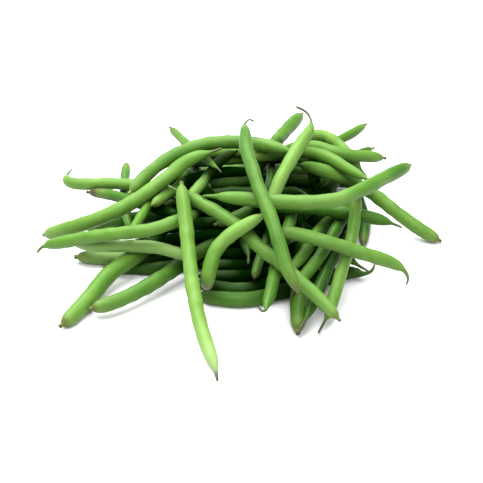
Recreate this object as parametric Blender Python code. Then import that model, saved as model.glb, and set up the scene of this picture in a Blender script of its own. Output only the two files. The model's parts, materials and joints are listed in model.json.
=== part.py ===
"""A loose heap of raw green beans, lying on a flat surface.

Every bean is one solid, grown in one piece: a short stalk, a small cap, a slim pod with faint
swellings over its seeds, and a thin bent tail. The beans are laid one after another from the
bottom of the heap to its top. Each one comes down until it rests on the floor or on the beans
below it, with one support on either side of its middle where its slope allows that.
"""
import math

import bmesh
import bpy
import numpy as np

MM = 0.001

# Sizes of a bean, in millimetres
STALK_RADIUS = 1.1
STALK_LENGTH = 2.2
CAP_RADIUS = 1.9
CAP_LENGTH = 2.2
END_DOME = 0.3
SHOULDER = 15.0
TAPER = 15.0
TAPER_PROFILE = ((1, 0.98), (0.55, 0.87), (0.2, 0.6))
TAIL_LENGTH = 6.5
LONG_TAILS = {"top_pale_tall": 17.0, "front_floor": 14.0, "top_diagonal": 11.0,
              "right_long_low": 10.0, "right_upright": 10.0, "back_left_top": 9.0}
TAIL_PROFILE = ((1, 0.3), (0.66, 0.2), (0.33, 0.16), (0, 0.13))
TAIL_RADIUS = 0.5
TAIL_BEND = 1.4
SWELLING = 0.03
BODY_RINGS = 5
SIDES = 8

# How the beans meet, in millimetres
GAP = 0.3
SAMPLE_STEP = 2.5
FLOOR_SINK = 0.25
SETTLING_ROUNDS = 20
SETTLING_SHARES = (0.6, 0.25)
LIFTING_ROUNDS = 5
RISE_PLAY = 8.0
BOW_PLAY = 4.5
BOW_COST = 0.15

# The eye that the seen places below are read from, in millimetres and degrees
EYE_DISTANCE = 800.0
EYE_ELEVATION = 35.0
AIM_HEIGHT = 20.0

GREENS = {
    "light": (0.30, 0.56, 0.13),
    "mid": (0.17, 0.42, 0.07),
    "deep": (0.09, 0.28, 0.04),
}
SKIN_ROUGHNESS = 0.42

# The beans in the order they are laid. A line holds the name, the thickness, the green, the
# heights of stalk end and tail end to begin with, how far the middle bows up, whether the places
# are plan or seen, and the places from stalk to tail. Plan places are across and away on the
# floor. Seen places are across and up in the plane through the heap's middle that faces the eye.
BEANS = [
    ("back_floor_long", 7.6, "mid", 4, 4, 0, "plan",
     [(-56, 69), (-20, 82), (16, 88.7), (44, 86.5), (64, 80)]),
    ("back_floor_left", 7.2, "deep", 4, 4, 0, "plan",
     [(-92, 37), (-60, 48.5), (-25, 53), (12, 52)]),
    ("back_floor_right", 7.4, "mid", 4, 4, 0, "plan",
     [(6, 61), (28, 50), (50, 44), (72, 43)]),
    ("back_floor_far", 7.2, "mid", 4, 4, 0, "plan",
     [(-44, 89), (-26, 97), (5, 103), (32, 103), (60, 97)]),
    ("left_floor", 8.2, "mid", 4, 4, 0, "seen",
     [(-92, -8.5), (-80, -8.6), (-60, -9.3), (-35, -8), (-10, -4), (14, 2)]),
    ("front_floor_inner", 7.6, "deep", 4, 4, 0, "seen",
     [(-26, -22), (-10, -25.6), (5, -25.8), (20, -22.3), (34, -18.7), (48, -15.7)]),
    ("front_floor", 8.4, "mid", 4, 4, 0, "seen",
     [(-26, -29.3), (-5, -32), (12, -30.5), (30, -25), (46, -20.5), (59, -17), (68, -17.8),
      (73, -15), (74.5, -12.5)]),
    ("left_floor_inner", 7.0, "deep", 4, 4, 0, "seen",
     [(-76, -13.8), (-62, -14.8), (-50, -15), (-38, -13.5), (-24, -11.5), (-8, -9.5)]),
    ("inner_floor_middle", 7.6, "deep", 4, 4, 0, "plan",
     [(-25, -9.8), (6, -9), (34, 0.5), (60, 14)]),
    ("inner_floor_between", 7.2, "deep", 4, 4, 0, "plan",
     [(-26, -1.6), (4, -0.2), (32, 8.4), (58, 21)]),
    ("inner_floor_front", 7.4, "deep", 4, 4, 0, "plan",
     [(-12, 8), (4, 8.6), (28, 15.6), (60, 31)]),
    ("left_point", 9.4, "light", 4, 12, 0, "seen",
     [(-100.3, -47), (-93.2, -41.2), (-83.4, -30.6), (-72.9, -18.3), (-61, -9.5), (-48, 0),
      (-39, 8)]),
    ("left_point_inner", 8.2, "mid", 4, 12, 0, "seen",
     [(-84, -37.3), (-76, -35.3), (-64, -31), (-52, -24.7), (-40, -17.2), (-28, -9), (-14, -1),
      (-4, 5)]),
    ("inner_floor_left", 7.4, "mid", 4, 4, 0, "plan",
     [(30, 34), (0, 32), (-38, 25.5), (-70, 19)]),
    ("inner_floor_back", 7.4, "deep", 4, 4, 0, "plan",
     [(-48, 62), (-14, 73), (8, 74), (44, 64)]),
    ("back_cross_left", 7.0, "mid", 10, 10, 0, "plan",
     [(-34, 108), (-25, 80), (-16, 50), (-10, 26)]),
    ("back_cross_right", 7.2, "mid", 10, 10, 0, "plan",
     [(66, 98), (54, 74), (41, 50), (30, 26)]),
    ("back_cross_middle", 7.0, "deep", 10, 10, 0, "plan",
     [(12, 24), (14, 50), (18, 80), (18, 108)]),
    ("back_slope_across", 7.2, "light", 18, 18, 0, "plan",
     [(64, 80), (34, 90), (0, 90), (-40, 84)]),
    ("inner_cross_middle", 7.0, "deep", 12, 10, 0, "plan",
     [(-4, 62), (-2, 36), (2, 10), (5, -12)]),
    ("inner_across", 7.2, "deep", 18, 18, 0, "plan",
     [(-46, 12), (-12, 18), (24, 18), (56, 10)]),
    ("inner_across_back", 7.0, "mid", 20, 20, 0, "plan",
     [(52, 54), (22, 46), (-10, 43), (-42, 49)]),
    ("right_low_tail", 6.0, "light", 14, 4, 0, "seen",
     [(12, 19), (25, 13), (42, 3), (55, -6), (63, -12.5), (69, -17)]),
    ("front_stub_thin", 5.5, "mid", 8, 14, 0, "seen",
     [(7, -20.5), (9, -13), (12, -4), (15, 6), (17, 14)]),
    ("front_down_right", 9.4, "mid", 4, 18, 0, "seen",
     [(31, -51), (31.2, -42), (31.5, -28), (32, -14), (33, -4), (35, 10)]),
    ("front_down_outer", 7.2, "deep", 18, 4, 0, "seen",
     [(57, 7), (53, -2), (48.5, -12), (43.5, -24), (39, -34), (33.5, -48)]),
    ("right_stub", 6.6, "deep", 12, 18, 0, "seen",
     [(67, -3), (67.5, 5), (67.5, 12), (64, 24), (57, 34), (48, 40)]),
    ("right_slant_far", 7.0, "mid", 20, 10, 0, "seen",
     [(62, 24), (50, 13), (41, 4), (35, -6), (28, -14.5), (22, -20)]),
    ("right_slant_near", 7.0, "mid", 20, 10, 0, "seen",
     [(60, 21), (50, 3), (42, -10), (34.5, -19), (29, -26), (26, -30)]),
    ("front_down_middle", 7.0, "mid", 22, 6, 0, "seen",
     [(29, 20), (25, 5), (21, -6), (18.5, -16), (16.5, -26), (14, -34), (12.3, -38.5),
      (8, -37)]),
    ("left_upright", 6.0, "mid", 20, 12, 0, "seen",
     [(-63.2, 43.5), (-64, 36), (-64.5, 25), (-63, 13), (-60, 4)]),
    ("back_left_top", 7.0, "mid", 20, 12, 0, "seen",
     [(-20, 25), (-30, 27), (-45, 29.5), (-60, 31), (-75, 32), (-90, 31.6), (-96, 33.5),
      (-95.5, 37), (-94.5, 40)]),
    ("back_left_low", 6.2, "mid", 12, 22, 0, "seen",
     [(-85, 27.2), (-78, 26.4), (-69, 24.8), (-55, 20.6), (-35, 14.5), (-25, 12)]),
    ("left_low", 6.8, "mid", 14, 10, 0, "seen",
     [(-24, -10), (-34, -6.8), (-45, -3.7), (-60, -2.5), (-75, -2.5), (-84, -2), (-96, 1)]),
    ("back_under_arch", 6.4, "light", 26, 26, 0, "seen",
     [(-38, 42), (-26, 47), (-12, 49.3), (2, 49.3), (16, 47), (26, 44.5)]),
    ("round_end", 7.4, "deep", 26, 15, 0, "seen",
     [(41, 28.5), (40, 35), (40, 43), (42, 52), (45, 57)]),
    ("back_right_thin", 5.0, "deep", 26, 26, 0, "seen",
     [(73, 51.5), (67, 49.3), (58, 45), (45, 38), (34, 32)]),
    ("inner_middle", 6.4, "deep", 20, 24, 0, "seen",
     [(-15, 9), (-2, 14), (10, 20), (20, 25.5), (30, 28), (38, 25.5)]),
    ("left_slant", 5.6, "light", 14, 28, 0, "seen",
     [(-62, 2), (-57, 11), (-50, 21), (-40, 33), (-28, 45)]),
    ("inner_left_arch", 6.4, "mid", 24, 32, 0, "seen",
     [(-50, 19), (-31, 33), (-19, 37), (-5, 38.5), (12, 37)]),
    ("far_right", 7.8, "mid", 4, 38, 0, "seen",
     [(110, 0), (105, 2.8), (95, 8.8), (85, 16.3), (76, 23.3), (68, 29), (52, 36.3), (38, 41),
      (28, 43)]),
    ("right_long_thin", 7.4, "mid", 30, 22, 0, "seen",
     [(8, 20), (15, 20), (30, 19), (50, 17.1), (70, 13.3), (80, 10.9), (88.5, 8.4)]),
    ("right_upright", 7.0, "light", 44, 4, 0, "seen",
     [(64, 27), (63.5, 23), (62, 12), (60.3, 0), (56, -13), (52.3, -25), (49, -37),
      (45.5, -44), (41, -50)]),
    ("right_long_low", 7.4, "mid", 38, 16, 0, "seen",
     [(19, 6.4), (30, 4.2), (40, 1.8), (55, -2.8), (70, -7.5), (80, -10.6), (86, -13.5),
      (90.5, -17), (92.3, -20.8), (91.8, -24.2)]),
    ("inner_left_steep", 6.2, "mid", 42, 28, 0, "seen",
     [(-2, 50), (-8, 47), (-14, 42), (-20, 34), (-27, 26), (-36, 16)]),
    ("back_top_left_end", 5.2, "mid", 34, 36, 0, "seen",
     [(-39.5, 62.8), (-35, 58.3), (-28, 52), (-18, 44), (-10, 38.5)]),
    ("back_top_pointed", 8.2, "mid", 34, 36, 0, "seen",
     [(33.4, 70.2), (30, 66.8), (24.8, 61.3), (19, 54.8), (11.5, 45), (3, 35)]),
    ("back_right_brown_end", 5.8, "mid", 34, 40, 0, "seen",
     [(69, 64.8), (60, 59), (50, 54.4), (40, 51.5), (25, 48), (8, 43)]),
    ("back_right_pale", 6.8, "light", 40, 30, 0, "seen",
     [(30, 54.5), (37, 58), (45, 58), (52, 54.5), (58.5, 48), (64, 41), (68, 35)]),
    ("back_right_flat", 7.0, "mid", 34, 42, 3, "seen",
     [(79.5, 45.8), (70, 46.7), (60, 47.5), (50, 49.5), (42, 52), (30, 52), (16, 49)]),
    ("inner_right_top", 6.8, "light", 46, 36, 0, "seen",
     [(2, 46), (10, 47), (22, 48), (36, 49), (47, 46.5), (55, 42), (62, 38), (73, 32)]),
    ("top_arch", 7.8, "mid", 34, 46, 6, "seen",
     [(-62, 26), (-52, 36.5), (-38, 46.8), (-20, 53.5), (0, 54.6), (18, 51.8), (32, 48)]),
    ("left_long", 7.8, "light", 10, 50, 0, "seen",
     [(-109, 3.5), (-100, 5.8), (-80, 12), (-60, 21.5), (-50, 28.5), (-40, 36), (-33, 42),
      (-25, 46.5), (-11, 50.5)]),
    ("left_lower_long", 7.2, "light", 36, 6, 0, "seen",
     [(-22, 16.5), (-30, 13), (-36, 11), (-50, 6.3), (-65, 4.6), (-85, 2), (-100, -1),
      (-107.5, -2.6), (-110, -4), (-111.5, -7)]),
    ("top_pale_tall", 7.6, "light", 32, 60, 0, "seen",
     [(15, 18), (17.3, 24.5), (21.7, 35), (27.2, 45), (32.5, 53.5), (36.3, 59),
      (38.2, 63.5), (37.8, 68), (35, 72), (30.7, 74.6)]),
    ("middle_long_slant", 7.2, "mid", 6, 48, 0, "seen",
     [(54.5, -44), (50, -39), (40, -29), (20, -11), (10, -3.5), (0, 7), (-10, 14),
      (-20, 19.5), (-28, 24.5), (-41, 30)]),
    ("right_long_high", 7.8, "mid", 42, 44, 8, "seen",
     [(93, 42), (85, 38), (75, 33), (65, 27.8), (55, 23.5), (40, 21.5), (20, 21.8),
      (0, 23.5), (-21, 25.5)]),
    ("middle_bright_bent", 8.2, "light", 8, 40, 3, "seen",
     [(-19, -26.5), (-18.3, -20), (-16.5, -12), (-14, -4.5), (-9, 1.5), (-2, 6.5), (6, 10.6),
      (12, 13), (18, 14.3)]),
    ("top_diagonal", 7.5, "mid", 14, 58, 14, "seen",
     [(31.5, -29.5), (27.5, -20), (22.8, -10), (20.2, 0), (17.2, 10), (13.5, 20), (9.2, 30),
      (6, 40), (2.8, 50), (2, 60), (1.7, 63.5), (2.8, 65.8), (5, 66.5), (8, 65)]),
    ("front_long", 8.0, "light", 50, 3, 0, "seen",
     [(-33, 33), (-32.3, 24), (-30.5, 10), (-28.6, -10), (-26, -30), (-21.4, -50),
      (-14.6, -69), (-11.8, -76.5)]),
]


def smooth_path(points, count):
    """Return count points, evenly spaced, on a smooth curve through the given ones."""
    points = np.array(points, float)
    padded = np.vstack([2 * points[0] - points[1], points, 2 * points[-1] - points[-2]])
    curve = []
    for k in range(len(points) - 1):
        before, start, end, after = padded[k:k + 4]
        for t in np.linspace(0, 1, 12, endpoint=False):
            curve.append(0.5 * (2 * start + (end - before) * t
                                + (2 * before - 5 * start + 4 * end - after) * t ** 2
                                + (3 * start - 3 * end + after - before) * t ** 3))
    curve.append(points[-1])
    curve = np.array(curve)
    return evenly(curve, count)


def lengths_along(path):
    """Return the distance from the start of a path to each of its points."""
    steps = np.linalg.norm(np.diff(path, axis=0), axis=1)
    return np.concatenate([[0.0], np.cumsum(steps)])


def evenly(path, count):
    """Return count evenly spaced points of a path."""
    along = lengths_along(path)
    wanted = np.linspace(0, along[-1], count)
    return np.column_stack([np.interp(wanted, along, path[:, k]) for k in range(path.shape[1])])


def eye_and_up():
    """Return the eye, the point it looks at, and the direction that it sees as up."""
    tilt = math.radians(EYE_ELEVATION)
    aim = np.array([0, 0, AIM_HEIGHT])
    eye = aim + EYE_DISTANCE * np.array([0, -math.cos(tilt), math.sin(tilt)])
    return eye, aim, np.array([0, math.sin(tilt), math.cos(tilt)])


def on_sight_lines(seen, heights):
    """Return the points that the eye sees at the given places, at the given heights."""
    eye, aim, up = eye_and_up()
    plane = aim + np.outer(seen[:, 0], [1, 0, 0]) + np.outer(seen[:, 1], up)
    reach = (eye[2] - heights) / (eye[2] - plane[:, 2])
    return eye + (plane - eye) * reach[:, None]


def in_place(kind, places, heights):
    """Return the points of a bean's middle line, from its places and its heights."""
    if kind == "plan":
        return np.column_stack([places, heights])
    return on_sight_lines(places, heights)


def ring_stations(length, thickness, tail):
    """Return how far along the bean its rings stand, and their radii."""
    radius = thickness / 2
    cap_end = STALK_LENGTH + CAP_LENGTH
    stations = [0, STALK_LENGTH, STALK_LENGTH + 0.9, cap_end, 0.55 * SHOULDER, SHOULDER]
    radii = [STALK_RADIUS, 0.9 * STALK_RADIUS, CAP_RADIUS, 0.72 * radius, 0.92 * radius, radius]
    body_end = length - tail - TAPER
    for k, station in enumerate(np.linspace(SHOULDER, body_end, BODY_RINGS + 2)[1:-1]):
        stations.append(station)
        radii.append(radius * (1 + SWELLING * (-1) ** k))
    for share, size in TAPER_PROFILE:
        stations.append(length - tail - share * TAPER)
        radii.append(size * radius)
    for share, size in TAIL_PROFILE:
        stations.append(length - share * tail)
        radii.append(max(size * radius, TAIL_RADIUS))
    return np.array(stations), np.array(radii)


def sampled(centres, radii):
    """Return points along the line of ring centres, no more than a step apart, with radii."""
    points, sizes = [], []
    for start, end, first, last in zip(centres, centres[1:], radii, radii[1:]):
        count = max(1, math.ceil(np.linalg.norm(end - start) / SAMPLE_STEP))
        for t in np.arange(count) / count:
            points.append(start + (end - start) * t)
            sizes.append(first + (last - first) * t)
    points.append(centres[-1])
    sizes.append(radii[-1])
    return np.array(points), np.array(sizes)


def lowest_heights(kind, points, sizes, laid_points, laid_sizes):
    """Return how low each sample of a bean may come, over the floor and the beans below it.

    A plan bean comes straight down. A seen bean comes down along the eye's sight lines, so it
    stays where it is seen and in front of the beans laid before it.
    """
    lowest = sizes * math.cos(math.pi / SIDES) - FLOOR_SINK * np.minimum(1, sizes / CAP_RADIUS)
    if not len(laid_points):
        return lowest
    if kind == "plan":
        lines = np.tile([0.0, 0.0, -1.0], (len(points), 1))
    else:
        lines = points - eye_and_up()[0]
        lines /= np.linalg.norm(lines, axis=1)[:, None]
    apart = laid_points[None, :, :] - points[:, None, :]
    along = (apart * lines[:, None, :]).sum(axis=2)
    aside = (apart ** 2).sum(axis=2) - along ** 2
    room = (sizes[:, None] + laid_sizes[None, :] + GAP) ** 2 - aside
    move = along - np.sqrt(np.maximum(room, 0))
    touching = points[:, None, 2] + move * lines[:, None, 2]
    return np.maximum(lowest, np.where(room > 0, touching, 0).max(axis=1))


def resting_line(along, lowest, wanted_rise, wanted_bow):
    """Return start height, rise and bow of a bean that rests as low as it can.

    It rests on one support on either side of the middle, unless that would tip it too far from
    the rise that is wanted. Its middle also bows up or down a little, as grown beans do, to lie
    closer on its supports.
    """
    middle = 0.5
    left = along <= middle
    right = along > middle
    found = None
    for bow in wanted_bow + np.linspace(-BOW_PLAY, BOW_PLAY, 7):
        free = lowest - bow * 4 * along * (1 - along)
        rises = (free[right][None, :] - free[left][:, None]) / (
            along[right][None, :] - along[left][:, None])
        at_middle = free[left][:, None] + rises * (middle - along[left][:, None])
        best = np.unravel_index(np.argmax(at_middle), at_middle.shape)
        rise = min(max(rises[best], wanted_rise - RISE_PLAY), wanted_rise + RISE_PLAY)
        start = (free - rise * along).max()
        mean_height = start + rise / 2 + bow * 2 / 3 + BOW_COST * abs(bow - wanted_bow)
        if found is None or mean_height < found[0]:
            found = (mean_height, start, rise, bow)
    return found[1:]


def bent_tail(centres, stations, side):
    """Bend the thin tail of a bean sideways."""
    length = stations[-1]
    past = np.clip((stations - length + 2 * TAIL_LENGTH) / (2 * TAIL_LENGTH), 0, 1)
    forward = centres[-1, :2] - centres[-3, :2]
    across = np.array([-forward[1], forward[0]]) / max(np.linalg.norm(forward), 1e-6)
    bent = centres.copy()
    bent[:, :2] += side * TAIL_BEND * (past ** 2)[:, None] * across
    return bent


def lay(bean, number, laid_points, laid_sizes):
    """Return the ring centres and radii of a bean that has come to rest."""
    thickness, stalk_height, tail_height, bow, kind, places = bean[1], *bean[3:]
    places = smooth_path(places, 61)
    tail = LONG_TAILS.get(bean[0], TAIL_LENGTH)
    share = np.linspace(0, 1, 61)
    heights = stalk_height + (tail_height - stalk_height) * share + bow * 4 * share * (1 - share)
    for settling in range(SETTLING_ROUNDS):
        path = in_place(kind, places, heights)
        distance = lengths_along(path)
        stations, radii = ring_stations(distance[-1], thickness, tail)
        centres = np.column_stack([np.interp(stations, distance, path[:, k]) for k in range(3)])
        centres = bent_tail(centres, stations, (-1) ** number)
        along = lengths_along(centres) / lengths_along(centres)[-1]
        points, sizes = sampled(centres, radii)
        sample_along = lengths_along(points) / lengths_along(points)[-1]
        lowest = lowest_heights(kind, points, sizes, laid_points, laid_sizes)
        start, rise, bow_now = resting_line(sample_along, lowest, tail_height - stalk_height, bow)
        centres[:, 2] = start + rise * along + bow_now * 4 * along * (1 - along)
        resting = np.interp(distance / distance[-1], along, centres[:, 2])
        settled = SETTLING_SHARES[0] if settling < SETTLING_ROUNDS // 2 else SETTLING_SHARES[1]
        heights = heights + settled * (resting - heights)
    for lifting in range(LIFTING_ROUNDS):
        points, sizes = sampled(centres, radii)
        lowest = lowest_heights(kind, points, sizes, laid_points, laid_sizes)
        centres[:, 2] += max(0, (lowest - points[:, 2]).max())
    return centres, radii


def lay_heap():
    """Lay every bean, and return the ring centres and radii of each."""
    laid_points, laid_sizes, heap = np.empty((0, 3)), np.empty(0), []
    for number, bean in enumerate(BEANS):
        centres, radii = lay(bean, number, laid_points, laid_sizes)
        points, sizes = sampled(centres, radii)
        laid_points = np.vstack([laid_points, points])
        laid_sizes = np.concatenate([laid_sizes, sizes])
        heap.append((bean, centres, radii))
    return heap


def ring_corners(centres, radii):
    """Return the corners of each ring, square to the bean's middle line and without a twist."""
    corners = []
    forward = np.gradient(centres, axis=0)
    forward /= np.linalg.norm(forward, axis=1)[:, None]
    side = np.cross(forward[0], [0, 0, 1])
    for centre, radius, ahead in zip(centres, radii, forward):
        side = side - (side @ ahead) * ahead
        side = side / np.linalg.norm(side)
        up = np.cross(side, ahead)
        for k in range(SIDES):
            angle = 2 * math.pi * (k + 0.5) / SIDES
            corner = centre + radius * (math.cos(angle) * side + math.sin(angle) * up)
            corners.append([corner[0], corner[1], max(corner[2], 0)])
    return np.array(corners).reshape(len(centres), SIDES, 3)


def bean_solid(name, corners, material):
    """Make one bean from its rings, closed by a low dome at each end."""
    mesh = bpy.data.meshes.new(name)
    shape = bmesh.new()
    rings = [[shape.verts.new(corner * MM) for corner in ring] for ring in corners]
    for near, far in zip(rings, rings[1:]):
        for k in range(SIDES):
            shape.faces.new((near[k], near[k - 1], far[k - 1], far[k]))
    middles = corners.mean(axis=1)
    for end, inner, turn in ((0, 1, 1), (-1, -2, -1)):
        outward = middles[end] - middles[inner]
        top = middles[end] + END_DOME * outward / np.linalg.norm(outward)
        point = shape.verts.new((top[0] * MM, top[1] * MM, max(top[2], 0) * MM))
        for k in range(SIDES):
            shape.faces.new((point, rings[end][k - 1], rings[end][k])[::turn])
    bmesh.ops.recalc_face_normals(shape, faces=shape.faces)
    shape.to_mesh(mesh)
    shape.free()
    mesh.shade_smooth()
    mesh.materials.append(material)
    piece = bpy.data.objects.new(name, mesh)
    bpy.context.collection.objects.link(piece)
    return piece


def green_skin(shade):
    """Make the satin skin of a bean in one of the greens."""
    material = bpy.data.materials.new(f"bean_skin_{shade}")
    material.use_nodes = True
    shader = material.node_tree.nodes["Principled BSDF"]
    shader.inputs["Base Color"].default_value = (*GREENS[shade], 1)
    shader.inputs["Roughness"].default_value = SKIN_ROUGHNESS
    shader.inputs["Metallic"].default_value = 0
    return material


def build():
    """Build the heap with the middle of its foot at the origin."""
    for piece in list(bpy.data.objects):
        bpy.data.objects.remove(piece)
    skins = {shade: green_skin(shade) for shade in GREENS}
    heap = lay_heap()
    solids = [ring_corners(centres, radii) for bean, centres, radii in heap]
    every_corner = np.vstack([corners.reshape(-1, 3) for corners in solids])
    middle = (every_corner.min(axis=0) + every_corner.max(axis=0)) / 2
    foot = np.array([middle[0], middle[1], 0])
    for (bean, centres, radii), corners in zip(heap, solids):
        bean_solid(f"bean_{bean[0]}", corners - foot, skins[bean[2]])
    return heap, foot


heap, foot = build()
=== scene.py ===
"""A loose bundle of raw green beans, heaped criss-cross on a white table."""
import json
import math

import bmesh
import bpy
import numpy as np
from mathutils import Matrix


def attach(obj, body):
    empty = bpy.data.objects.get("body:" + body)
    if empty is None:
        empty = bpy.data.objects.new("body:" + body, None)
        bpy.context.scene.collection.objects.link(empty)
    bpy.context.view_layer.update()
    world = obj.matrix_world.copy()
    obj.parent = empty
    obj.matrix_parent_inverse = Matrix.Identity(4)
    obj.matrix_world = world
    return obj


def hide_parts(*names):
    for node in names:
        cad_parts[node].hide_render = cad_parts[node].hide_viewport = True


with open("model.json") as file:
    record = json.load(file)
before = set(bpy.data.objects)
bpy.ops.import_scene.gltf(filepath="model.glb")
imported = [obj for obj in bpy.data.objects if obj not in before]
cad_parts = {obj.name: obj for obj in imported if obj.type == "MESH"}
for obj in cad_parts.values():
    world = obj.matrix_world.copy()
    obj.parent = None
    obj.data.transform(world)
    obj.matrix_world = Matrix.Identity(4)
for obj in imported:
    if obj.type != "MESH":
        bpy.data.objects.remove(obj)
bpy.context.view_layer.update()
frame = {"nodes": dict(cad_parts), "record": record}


# The pod, grown straight
# A green bean is one pod: a stub of stalk, a small cap, a slim body that swells a little over
# each seed and carries a fine seam above and below, and a thin dry tail. It is modelled straight,
# ring by ring, in three lengths and twice with a long tail, and stands for every bean like it.
MM = 0.001
SIDES = 20
POD_RADIUS = 3.6
SHOULDER = 15.0
TAPER = 15.0
STALK_RINGS = ((0, 0.85), (0.15, 1.05), (0.8, 1.0), (1.5, 0.97), (2.1, 1.04), (2.6, 1.5),
               (3.1, 1.9), (3.6, 2.16), (4.3, 2.5), (5.4, 2.86), (6.8, 3.14), (8.6, 3.34),
               (10.8, 3.46), (13.0, 3.55))
TAPER_RINGS = ((15, 0.975), (12.8, 0.955), (10.5, 0.92), (8.2, 0.87), (6.2, 0.80), (4.4, 0.70),
               (3.0, 0.60), (1.8, 0.47), (0.8, 0.36), (0, 0.295))
TAIL_RINGS = ((0.86, 0.26), (0.7, 0.235), (0.52, 0.215), (0.34, 0.195), (0.17, 0.17),
              (0.05, 0.14), (0, 0.08))
RING_STEP = 2.2
SEED_PITCH = 10.5
SEED_SWELLING = 0.045
WAIST = 0.01
FLATTENED, DEEPENED = 0.965, 1.02
SEAM_RISE = 0.01
SEAM_LEAST_RADIUS = 2.4
PODS = {"short": (64, 6.5), "middle": (88, 6.5), "long": (116, 6.5), "tailed": (96, 10.5),
        "curled": (76, 17)}


def pod_rings(length, tail):
    """Return how far along the pod its rings stand and their radii, in millimetres."""
    rings = list(STALK_RINGS)
    body = length - tail - TAPER - SHOULDER
    count, seeds = round(body / RING_STEP), max(1, round(body / SEED_PITCH))
    for k in range(count):
        share = k / count
        swelling = -SEED_SWELLING * math.cos(2 * math.pi * seeds * share)
        fade = math.sin(math.pi * share) ** 0.4
        rings.append((SHOULDER + share * body, POD_RADIUS * (1 + swelling * fade - WAIST)))
    rings += [(length - tail - back, POD_RADIUS * size) for back, size in TAPER_RINGS]
    rings += [(length - tail * share, POD_RADIUS * size) for share, size in TAIL_RINGS]
    return rings


def straight_pod(kind):
    """Model a straight pod along X, with its stalk end at the origin."""
    bpy.ops.object.select_all(action="DESELECT")
    length, tail = PODS[kind]
    rings = pod_rings(length, tail)
    bpy.ops.mesh.primitive_circle_add(vertices=SIDES, radius=rings[0][1] * MM, fill_type="NGON",
                                      rotation=(math.pi / 2, 0, math.pi / 2))
    pod = bpy.context.object
    pod.name = f"straight_pod_{kind}"
    bpy.ops.object.transform_apply(location=True, rotation=True, scale=True)
    bpy.ops.object.mode_set(mode="EDIT")
    bpy.ops.mesh.select_all(action="SELECT")
    for (start, radius), (end, next_radius) in zip(rings, rings[1:]):
        growth = next_radius / radius
        bpy.ops.mesh.extrude_region_move(
            TRANSFORM_OT_translate={"value": ((end - start) * MM, 0, 0)})
        bpy.ops.transform.resize(value=(1, growth, growth), center_override=(end * MM, 0, 0))
    bpy.ops.mesh.select_all(action="SELECT")
    bpy.ops.mesh.normals_make_consistent(inside=False)
    bpy.ops.object.mode_set(mode="OBJECT")
    for corner in pod.data.vertices:
        x, y, z = corner.co
        radius = math.hypot(y, z)
        on_seam = abs(z) / radius > 0.999 and radius > SEAM_LEAST_RADIUS * MM
        corner.co = (x, y * FLATTENED, z * (DEEPENED + SEAM_RISE * on_seam))
    smooth = pod.modifiers.new("round", "SUBSURF")
    smooth.levels = smooth.render_levels = 1
    bpy.ops.object.modifier_apply(modifier="round")
    bpy.ops.object.shade_smooth()
    mark_skin(pod, length, tail)
    return pod


def mark_skin(pod, length, tail):
    """Keep each corner's place on the straight pod: how far it is along it, and on which side.

    skin_place is that place in pod radii, and along the pod in tenths of a metre. skin_ends holds
    the millimetres from the stalk end, and how far along the tail a corner is, from 0 to 1.
    """
    place = pod.data.attributes.new("skin_place", "FLOAT_VECTOR", "POINT")
    ends = pod.data.attributes.new("skin_ends", "FLOAT_VECTOR", "POINT")
    for corner, spot, end in zip(pod.data.vertices, place.data, ends.data):
        x, y, z = corner.co
        spot.vector = (x / MM / 100, y / (POD_RADIUS * MM), z / (POD_RADIUS * MM))
        end.vector = (x / MM, (x / MM - length + tail) / tail, 0)


straight_pods = {kind: straight_pod(kind) for kind in PODS}


# The skin
# Fresh skin is satin and a little translucent. It is mottled in two greens with fine fibres along
# the pod, paler at the seams, yellowish at the neck, brown where the stalk broke off and dry at
# the tail's tip. Deep inside the heap, where little light comes, shade is painted into the skin:
# it turns darker and duller. The second, shaded green also carries painted shade on some beans.
SKINS = {
    "pod_light": {"fresh": (0.1, 0.195, 0.032), "shaded": (0.044, 0.12, 0.009)},
    "pod_mid": {"fresh": (0.068, 0.153, 0.0195), "shaded": (0.022, 0.08, 0.0035)},
    "pod_deep": {"fresh": (0.028, 0.092, 0.006), "shaded": (0.008, 0.038, 0.001)},
}
PALE_COLOUR = (0.178, 0.268, 0.096)
PAINTED_SHADE_COLOUR = (0.0012, 0.009, 0.0002)
NECK_COLOUR = (0.10, 0.155, 0.03)
STALK_COLOUR = (0.058, 0.07, 0.017)
BREAK_COLOUR = (0.035, 0.024, 0.01)
TIP_COLOUR = (0.042, 0.038, 0.022)
SEAM_COLOUR = (0.10, 0.178, 0.04)
MOTTLING_SHARE, FIBRE_SHARE, SEAM_SHARE, NECK_SHARE = 0.42, 0.26, 0.3, 0.4
SATIN_ROUGHNESS, DULL_ROUGHNESS = 0.42, 0.6
OPEN_SHINE, PAINTED_SHADE_SHINE = 0.2, 0.0


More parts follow.
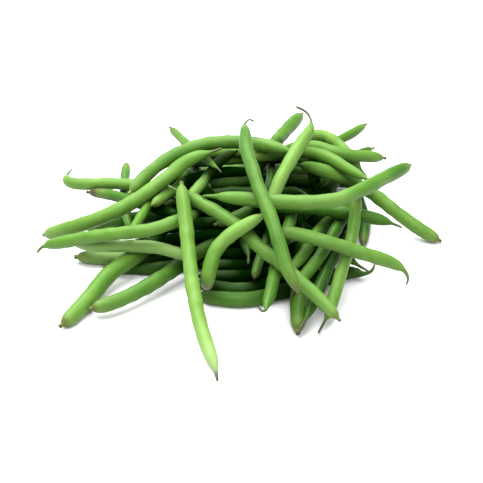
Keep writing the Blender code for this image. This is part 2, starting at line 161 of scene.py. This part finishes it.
def skin(slot):
    """Make the skin of the beans of one material slot."""
    material = bpy.data.materials.new(f"{slot}_skin")
    material.use_nodes = True
    nodes, links = material.node_tree.nodes, material.node_tree.links
    shader = nodes["Principled BSDF"]

    def node(kind, **settings):
        made = nodes.new(kind)
        for name, value in settings.items():
            setattr(made, name, value)
        return made

    def blend(share, first, second):
        mix = node("ShaderNodeMix", data_type="RGBA")
        for socket, value in ((0, share), (6, first), (7, second)):
            if isinstance(value, (tuple, float, int)):
                colour_or_share = (*value, 1) if isinstance(value, tuple) else value
                mix.inputs[socket].default_value = colour_or_share
            else:
                links.new(value, mix.inputs[socket])
        return mix.outputs[2]

    def ramp(value, low, high):
        span = node("ShaderNodeMapRange", interpolation_type="SMOOTHSTEP")
        links.new(value, span.inputs["Value"])
        span.inputs["From Min"].default_value = low
        span.inputs["From Max"].default_value = high
        return span.outputs["Result"]

    def noise(vector, stretch, scale, detail=3.0):
        mapping = node("ShaderNodeMapping")
        mapping.inputs["Scale"].default_value = stretch
        links.new(vector, mapping.inputs["Vector"])
        made = node("ShaderNodeTexNoise")
        made.inputs["Scale"].default_value = scale
        made.inputs["Detail"].default_value = detail
        links.new(mapping.outputs["Vector"], made.inputs["Vector"])
        return made.outputs["Fac"]

    def share_of(value, factor):
        product = node("ShaderNodeMath", operation="MULTIPLY")
        links.new(value, product.inputs[0])
        if isinstance(factor, float):
            product.inputs[1].default_value = factor
        else:
            links.new(factor, product.inputs[1])
        return product.outputs[0]

    place = node("ShaderNodeAttribute", attribute_name="skin_place").outputs["Vector"]
    tint_and_shade = node("ShaderNodeAttribute", attribute_name="tint_and_shade").outputs["Fac"]
    painted_shade = node("ShaderNodeAttribute", attribute_name="painted_shade").outputs["Fac"]
    dryness = node("ShaderNodeAttribute", attribute_name="dryness").outputs["Fac"]
    where = node("ShaderNodeTexCoord").outputs["Object"]
    split = node("ShaderNodeSeparateXYZ")
    links.new(place, split.inputs["Vector"])
    ends = node("ShaderNodeSeparateXYZ")
    links.new(node("ShaderNodeAttribute", attribute_name="skin_ends").outputs["Vector"],
              ends.inputs["Vector"])

    # Two greens: own tint and painted shade, broad mottling and fine fibres along the pod
    mottling = noise(where, (1, 1, 1), 55.0)
    fibres = noise(place, (1.6, 2.2, 2.2), 3.2, 5.0)
    shading = node("ShaderNodeMath", operation="MULTIPLY_ADD")
    links.new(ramp(mottling, 0.3, 0.7), shading.inputs[0])
    shading.inputs[1].default_value = MOTTLING_SHARE
    links.new(tint_and_shade, shading.inputs[2])
    fibre_share = node("ShaderNodeMath", operation="MULTIPLY_ADD", use_clamp=True)
    links.new(ramp(fibres, 0.35, 0.7), fibre_share.inputs[0])
    fibre_share.inputs[1].default_value = FIBRE_SHARE
    links.new(shading.outputs[0], fibre_share.inputs[2])
    colours = SKINS[slot]
    green = blend(fibre_share.outputs[0], colours["fresh"], colours["shaded"])
    green = blend(ramp(tint_and_shade, 0.0, -1.0), green, PALE_COLOUR)

    # Pale seams above and below
    side = node("ShaderNodeMath", operation="ABSOLUTE")
    links.new(split.outputs["Y"], side.inputs[0])
    green = blend(share_of(ramp(side.outputs[0], 0.12, 0.0), SEAM_SHARE), green, SEAM_COLOUR)

    # Neck, stalk and tail, then painted shade deep inside the heap over all of it
    from_stalk, along_tail = ends.outputs["X"], ends.outputs["Y"]
    green = blend(share_of(ramp(from_stalk, 14.0, 3.5), NECK_SHARE), green, NECK_COLOUR)
    green = blend(share_of(ramp(from_stalk, 6.0, 2.6), dryness), green, STALK_COLOUR)
    green = blend(share_of(ramp(from_stalk, 1.4, 0.3), dryness), green, BREAK_COLOUR)
    green = blend(share_of(ramp(along_tail, -0.3, 0.55), dryness), green, TIP_COLOUR)
    green = blend(ramp(painted_shade, 0.0, 1.0), green, PAINTED_SHADE_COLOUR)
    links.new(green, shader.inputs["Base Color"])

    # Satin gloss, fine fibres and pores
    gloss = node("ShaderNodeMapRange")
    links.new(mottling, gloss.inputs["Value"])
    gloss.inputs["To Min"].default_value = SATIN_ROUGHNESS
    gloss.inputs["To Max"].default_value = DULL_ROUGHNESS
    links.new(gloss.outputs["Result"], shader.inputs["Roughness"])
    pores = noise(where, (1, 1, 1), 900.0, 2.0)
    relief = node("ShaderNodeMath", operation="ADD")
    links.new(fibres, relief.inputs[0])
    links.new(pores, relief.inputs[1])
    bump = node("ShaderNodeBump")
    bump.inputs["Strength"].default_value = 0.22
    bump.inputs["Distance"].default_value = 0.0003
    links.new(relief.outputs[0], bump.inputs["Height"])
    links.new(bump.outputs["Normal"], shader.inputs["Normal"])
    # Painted shade also turns the shine down deep inside the heap
    painted_shade_dulling = node("ShaderNodeMapRange")
    links.new(painted_shade, painted_shade_dulling.inputs["Value"])
    painted_shade_dulling.inputs["To Min"].default_value = OPEN_SHINE
    painted_shade_dulling.inputs["To Max"].default_value = PAINTED_SHADE_SHINE
    links.new(painted_shade_dulling.outputs["Result"], shader.inputs["Specular IOR Level"])
    shader.inputs["Specular Tint"].default_value = (0.95, 1.0, 0.8, 1)
    shader.inputs["Subsurface Weight"].default_value = 0.12
    shader.inputs["Subsurface Radius"].default_value = (0.6, 1.0, 0.25)
    shader.inputs["Subsurface Scale"].default_value = 0.002
    return material


skins = {slot: skin(slot) for slot in SKINS}


# Growing a bean to its place
# Every bean starts as the straight pod nearest to its length. It is scaled to its own length and
# thickness, made a little uneven, and bent along its own middle line, as it lies in the heap. Its
# skin keeps its green, part its own tint and part painted shade, how dry it is, and painted shade
# for how deep it lies under the others.
DOME_REACH = 1.25 * MM
CROWDED_RINGS = (1, 2, 3)
UNEVENNESS = 0.7 * MM
LONG_TAILED = {"top_pale_tall": "curled", "front_floor": "tailed", "top_diagonal": "tailed",
               "right_long_low": "tailed", "right_upright": "tailed", "back_left_top": "tailed"}
CREPT_BROWN = {"middle_bright_bent": 6.5, "left_upright": 5.0, "back_left_low": 7.0,
               "back_top_left_end": 3.0}
# How much shade is painted into the skin deep inside the heap, from the beans above it
PAINTED_SHADE_REACH = 30 * MM
LIGHT_SIDE = np.array([0, -0.5, 0.866], np.float32)
OPEN_COVER, FULL_COVER = 1.6, 5.2
HEAP_TOP, HEAP_REACH, LIT_DEPTH = 64 * MM, 85 * MM, 30 * MM
LEAST_DEPTH, LEAST_INWARD = 0.1, 0.2
HEAP_MIDDLE = np.array([5, 15]) * MM
slots = {part["node"]: part["material_slot"] for part in frame["record"]["subparts"]}
uneven_growth = bpy.data.textures.new("uneven_growth", "CLOUDS")
uneven_growth.noise_scale = 0.011


def middle_line(name):
    """Return the ring centres and ring radii of a packed bean, from the stalk end to the tail.

    Each of its ends is a low dome round one point. The rings follow one after another from the
    wider dome, the stalk's, to the other.
    """
    shape = bmesh.new()
    shape.from_mesh(frame["nodes"][name].data)
    bmesh.ops.remove_doubles(shape, verts=shape.verts, dist=0.01 * MM)
    reach = {corner: max(edge.calc_length() for edge in corner.link_edges)
             for corner in shape.verts}
    domes = [corner for corner in shape.verts if reach[corner] < DOME_REACH]
    passed, ring, centres, radii = set(), {max(domes, key=reach.get)}, [], []
    while ring:
        if len(ring) > 1:
            places = np.array([corner.co for corner in ring])
            centres.append(places.mean(axis=0))
            radii.append(np.linalg.norm(places - centres[-1], axis=1).mean())
        passed |= ring
        ring = {edge.other_vert(corner) for corner in ring for edge in corner.link_edges} - passed
    shape.free()
    return np.array(centres), np.array(radii)


middle_points = {name: middle_line(name)[0] for name in slots}


def painted_shade_depth(points, own_node):
    """Return for each point how deep it lies under the other beans, 0 to about 1, as painted shade.
    """
    others = np.vstack([line for node, line in middle_points.items() if node != own_node])
    others = others[np.all((others > points.min(axis=0) - PAINTED_SHADE_REACH)
                           & (others < points.max(axis=0) + PAINTED_SHADE_REACH), axis=1)]
    cover = np.zeros(len(points), np.float32)
    for other in others:
        towards = (other - points).astype(np.float32)
        apart = np.linalg.norm(towards, axis=1)
        above = towards @ LIGHT_SIDE / apart
        cover += np.clip(above, 0, 1) * np.clip(1 - apart / PAINTED_SHADE_REACH, 0, 1)
    depth = np.clip((HEAP_TOP - points[:, 2]) / LIT_DEPTH, LEAST_DEPTH, 1)
    off_middle = np.linalg.norm(points[:, :2] - HEAP_MIDDLE, axis=1)
    inward = np.clip((HEAP_REACH - off_middle) / LIT_DEPTH, LEAST_INWARD, 1)
    return depth * inward * np.clip((cover - OPEN_COVER) / (FULL_COVER - OPEN_COVER), 0, 1)


def mark_along(bean, name, values):
    """Give the bean's corners a value that changes evenly from its stalk end to its tail."""
    straight = np.empty(3 * len(bean.data.vertices), np.float32)
    bean.data.attributes["skin_place"].data.foreach_get("vector", straight)
    along, values = straight[::3] / straight[::3].max(), np.atleast_1d(values)
    tint = bean.data.attributes.new(name, "FLOAT", "POINT")
    tint.data.foreach_set("value", np.interp(along, np.linspace(0, 1, len(values)), values)
                          .astype(np.float32))


def lay_bean(name, tint_and_shade, dryness=0.8):
    """Bend a copy of a straight pod along a packed bean's middle line, and put it in its place.

    Its green goes from -1, pale, to 1, deep, partly its own tint and partly painted shade, and
    dryness says how brown its ends are.
    On a few beans the brown has crept further up from the broken stalk.
    """
    node = f"bean_{name}"
    centres, radii = middle_line(node)
    length = np.linalg.norm(np.diff(centres, axis=0), axis=1).sum()
    kind = LONG_TAILED.get(name) or min(
        ("short", "middle", "long"), key=lambda pod: abs(math.log(PODS[pod][0] * MM / length)))
    guide = bpy.data.curves.new(f"{name}_guide", "CURVE")
    guide.dimensions = "3D"
    guide.resolution_u = 16
    guide.use_stretch = guide.use_deform_bounds = True
    kept = [k for k in range(len(centres)) if k not in CROWDED_RINGS]
    line = guide.splines.new("BEZIER")
    line.bezier_points.add(len(kept) - 1)
    for point, k in zip(line.bezier_points, kept):
        point.co = centres[k]
        point.handle_left_type = point.handle_right_type = "AUTO"
    guide_line = bpy.data.objects.new(f"{name}_guide", guide)
    bpy.context.scene.collection.objects.link(guide_line)

    bean = straight_pods[kind].copy()
    bean.data = straight_pods[kind].data.copy()
    bean.name = bean.data.name = f"green_{name}"
    bpy.context.scene.collection.objects.link(bean)
    bpy.ops.object.select_all(action="DESELECT")
    bean.select_set(True)
    bpy.context.view_layer.objects.active = bean
    thickness = radii.max() / (POD_RADIUS * MM)
    bean.scale = (length / (PODS[kind][0] * MM), thickness, thickness)
    bpy.ops.object.transform_apply(location=True, rotation=True, scale=True)
    uneven = bean.modifiers.new("uneven", "DISPLACE")
    uneven.texture = uneven_growth
    uneven.texture_coords = "GLOBAL"
    uneven.strength = UNEVENNESS
    bend = bean.modifiers.new("bend", "CURVE")
    bend.object = guide_line
    bend.deform_axis = "POS_X"
    bpy.ops.object.modifier_move_to_index(modifier="uneven", index=1)
    for modifier in ("bend", "uneven"):
        bpy.ops.object.modifier_apply(modifier=modifier)
    for corner in bean.data.vertices:
        corner.co.z = max(corner.co.z, 0)
    bpy.data.objects.remove(guide_line)

    if name in CREPT_BROWN:
        for end in bean.data.attributes["skin_ends"].data:
            end.vector.x -= CREPT_BROWN[name]
    mark_along(bean, "tint_and_shade", tint_and_shade)
    mark_along(bean, "dryness", dryness)
    # Painted shade: darker, duller skin where the bean lies deep under the others
    painted_shade = bean.data.attributes.new("painted_shade", "FLOAT", "POINT")
    places = np.array([corner.co for corner in bean.data.vertices])
    painted_shade.data.foreach_set("value", painted_shade_depth(places, node).astype(np.float32))
    bean.data.materials.clear()
    bean.data.materials.append(skins[slots[node]])
    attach(bean, "root")
    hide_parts(node)


# Beans lying on the table
# The lowest layer: beans that lie flat on the table and carry the rest of the heap. Their
# undersides are a little flattened where they press on it.
# Each bean's green number, here and below, is partly its own tint and partly painted shade
for name, tint_and_shade in (
        ("back_floor_long", 0.35), ("back_floor_left", 0.3), ("back_floor_right", 0.4),
        ("back_floor_far", 0.3), ("left_floor", -0.4), ("front_floor", 0.5),
        ("front_floor_inner", 0.45), ("left_floor_inner", 0.5), ("inner_floor_middle", 0.6),
        ("inner_floor_between", 0.6), ("inner_floor_front", 0.7), ("inner_floor_left", 0.5),
        ("inner_floor_back", 0.6)):
    lay_bean(name, tint_and_shade, 0.3)

# Beans crossing inside the heap
# Beans that lie across the lowest layer and fill the inside. They get little light, and shade is
# painted into their green, so most of what shows of them is deep green.
for name, tint_and_shade in (
        ("back_cross_left", 0.4), ("back_cross_right", 0.4), ("back_cross_middle", 0.4),
        ("back_slope_across", 0.4), ("back_under_arch", 0.2), ("inner_cross_middle", 0.6),
        ("inner_across", 0.6), ("inner_across_back", 0.5), ("inner_middle", 0.4),
        ("left_slant", 1.0), ("inner_left_arch", 0.0), ("inner_left_steep", -0.2),
        ("inner_right_top", 0.35), ("round_end", 0.2)):
    lay_bean(name, tint_and_shade, 0.3)

# Beans fanned out to the left
# Long beans whose stalk ends and tails stick out on the left, two of them slanting down to the
# table in front.
for name, tint_and_shade in (
        ("left_point", 0.5), ("left_point_inner", 0.45), ("left_upright", 0.3),
        ("back_left_top", -0.1), ("back_left_low", 0.8), ("left_low", -0.4),
        ("left_long", (0.2, 0.45, 0.3)), ("left_lower_long", 0.5)):
    lay_bean(name, tint_and_shade)

# Beans fanned out to the right and behind
# Beans that point to the right and to the back, with brown broken stalk ends.
for name, tint_and_shade in (
        ("right_low_tail", 0.5), ("right_stub", 0.5), ("far_right", 0.0),
        ("back_right_thin", 0.35), ("right_long_thin", 0.85), ("right_long_low", -0.1),
        ("back_top_left_end", 0.25), ("back_top_pointed", 0.25), ("back_right_brown_end", 0.35),
        ("back_right_pale", 0.0), ("back_right_flat", 0.0)):
    lay_bean(name, tint_and_shade)

# Beans coming down at the front
# Short ends and steep beans that show between the long ones at the front of the heap.
for name, tint_and_shade in (
        ("front_stub_thin", 0.4), ("front_down_right", 0.25), ("front_down_outer", 0.4),
        ("right_slant_far", (0.5, 0.4, -0.3)), ("right_slant_near", (0.6, 0.9, -0.2)),
        ("front_down_middle", 0.35), ("right_upright", 0.4)):
    lay_bean(name, tint_and_shade)

# Beans on top
# The last beans, which lie across all the others and catch most of the light. Their green changes
# from the stalk end to the tail: the long one in front is palest at its tail, and on the short bent
# one shade is painted deep green at its broken end.
for name, tint_and_shade, dryness in (
        ("top_arch", 0.15, (0, 0.6)), ("top_pale_tall", (-0.25, 0, 0.95), 1.0),
        ("middle_long_slant", -0.1, 0.6),
        ("right_long_high", (0.9, 0.15, -0.2, 0, 0.1), (0.7, 0.3)),
        ("middle_bright_bent", (1, 1, 0.35, -0.05, 0), (2, 0)),
        ("top_diagonal", (0.35, 0.45, 0.55), 0.8),
        ("front_long", (0.25, 0.2, 0, -1.0), (0.3, 1))):
    lay_bean(name, tint_and_shade, dryness)

for pod in straight_pods.values():
    bpy.data.objects.remove(pod)


# Table, light and camera
# A white table in a white room, lit by a large soft light overhead and a weaker one in front, as
# in a product photograph. Under the middle of the heap a deep green shade is painted into the
# table's colour. The camera stands at the photograph's height.
CAMERA_DISTANCE = 0.8
CAMERA_ELEVATION = math.radians(35)
HALF_WIDTH = 0.1328
AIM = (-0.000120, -0.015625, 0.020)
TABLE_WIDTH, TABLE_SINK = 6, 0.0001
TABLE_WHITE, TABLE_SHADE = (0.66, 0.66, 0.66, 1), (0.006, 0.02, 0.003, 1)
SHADE_MIDDLE, SHADE_REACH = (0.011, 0.033, 0), (0.066, 0.06, 1)
SHADE_EDGES = (1.05, 0.8)
ROOM_LIGHT = 0.45
LAMPS = {"overhead": {"place": (-0.2, 0.22, 0.98), "size": 1.3, "power": 62.0},
         "front": {"place": (0.35, -0.8, 0.9), "size": 0.8, "power": 12.0}}

bpy.ops.mesh.primitive_plane_add(size=TABLE_WIDTH, location=(0, 0, -TABLE_SINK))
table = bpy.context.object
table.name = "table"
white = bpy.data.materials.new("white_table")
white.use_nodes = True
table_nodes, table_links = white.node_tree.nodes, white.node_tree.links
table_nodes["Principled BSDF"].inputs["Roughness"].default_value = 0.7
# A deep green shade painted into the table's colour under the middle of the heap
footprint = table_nodes.new("ShaderNodeMapping")
footprint.vector_type = "TEXTURE"
footprint.inputs["Location"].default_value = SHADE_MIDDLE
footprint.inputs["Scale"].default_value = SHADE_REACH
table_links.new(table_nodes.new("ShaderNodeTexCoord").outputs["Object"], footprint.inputs["Vector"])
spread = table_nodes.new("ShaderNodeVectorMath")
spread.operation = "LENGTH"
table_links.new(footprint.outputs["Vector"], spread.inputs[0])
painted_shade_under_heap = table_nodes.new("ShaderNodeMapRange")
painted_shade_under_heap.interpolation_type = "SMOOTHSTEP"
painted_shade_under_heap.inputs["From Min"].default_value = SHADE_EDGES[0]
painted_shade_under_heap.inputs["From Max"].default_value = SHADE_EDGES[1]
table_links.new(spread.outputs["Value"], painted_shade_under_heap.inputs["Value"])
table_colour = table_nodes.new("ShaderNodeMix")
table_colour.data_type = "RGBA"
table_colour.inputs[6].default_value = TABLE_WHITE
table_colour.inputs[7].default_value = TABLE_SHADE
table_links.new(painted_shade_under_heap.outputs["Result"], table_colour.inputs[0])
table_links.new(table_colour.outputs[2], table_nodes["Principled BSDF"].inputs["Base Color"])
table.data.materials.append(white)

room = bpy.data.worlds.new("white_room")
room.use_nodes = True
room.node_tree.nodes["Background"].inputs["Color"].default_value = (1, 1, 1, 1)
room.node_tree.nodes["Background"].inputs["Strength"].default_value = ROOM_LIGHT
bpy.context.scene.world = room

for name, setting in LAMPS.items():
    bpy.ops.object.light_add(type="AREA", location=setting["place"])
    lamp = bpy.context.object
    lamp.name = f"{name}_light"
    lamp.data.size = setting["size"]
    lamp.data.energy = setting["power"]
    back = np.array(setting["place"]) / np.linalg.norm(setting["place"])
    lamp.rotation_euler = (math.acos(back[2]), 0, math.atan2(back[1], back[0]) + math.pi / 2)

bpy.context.scene.view_settings.view_transform = "Standard"
bpy.ops.object.camera_add(
    location=(AIM[0], AIM[1] - CAMERA_DISTANCE * math.cos(CAMERA_ELEVATION),
              AIM[2] + CAMERA_DISTANCE * math.sin(CAMERA_ELEVATION)),
    rotation=(math.pi / 2 - CAMERA_ELEVATION, 0, 0))
camera = bpy.context.object
camera.data.angle = 2 * math.atan(HALF_WIDTH / CAMERA_DISTANCE)
bpy.context.scene.camera = camera
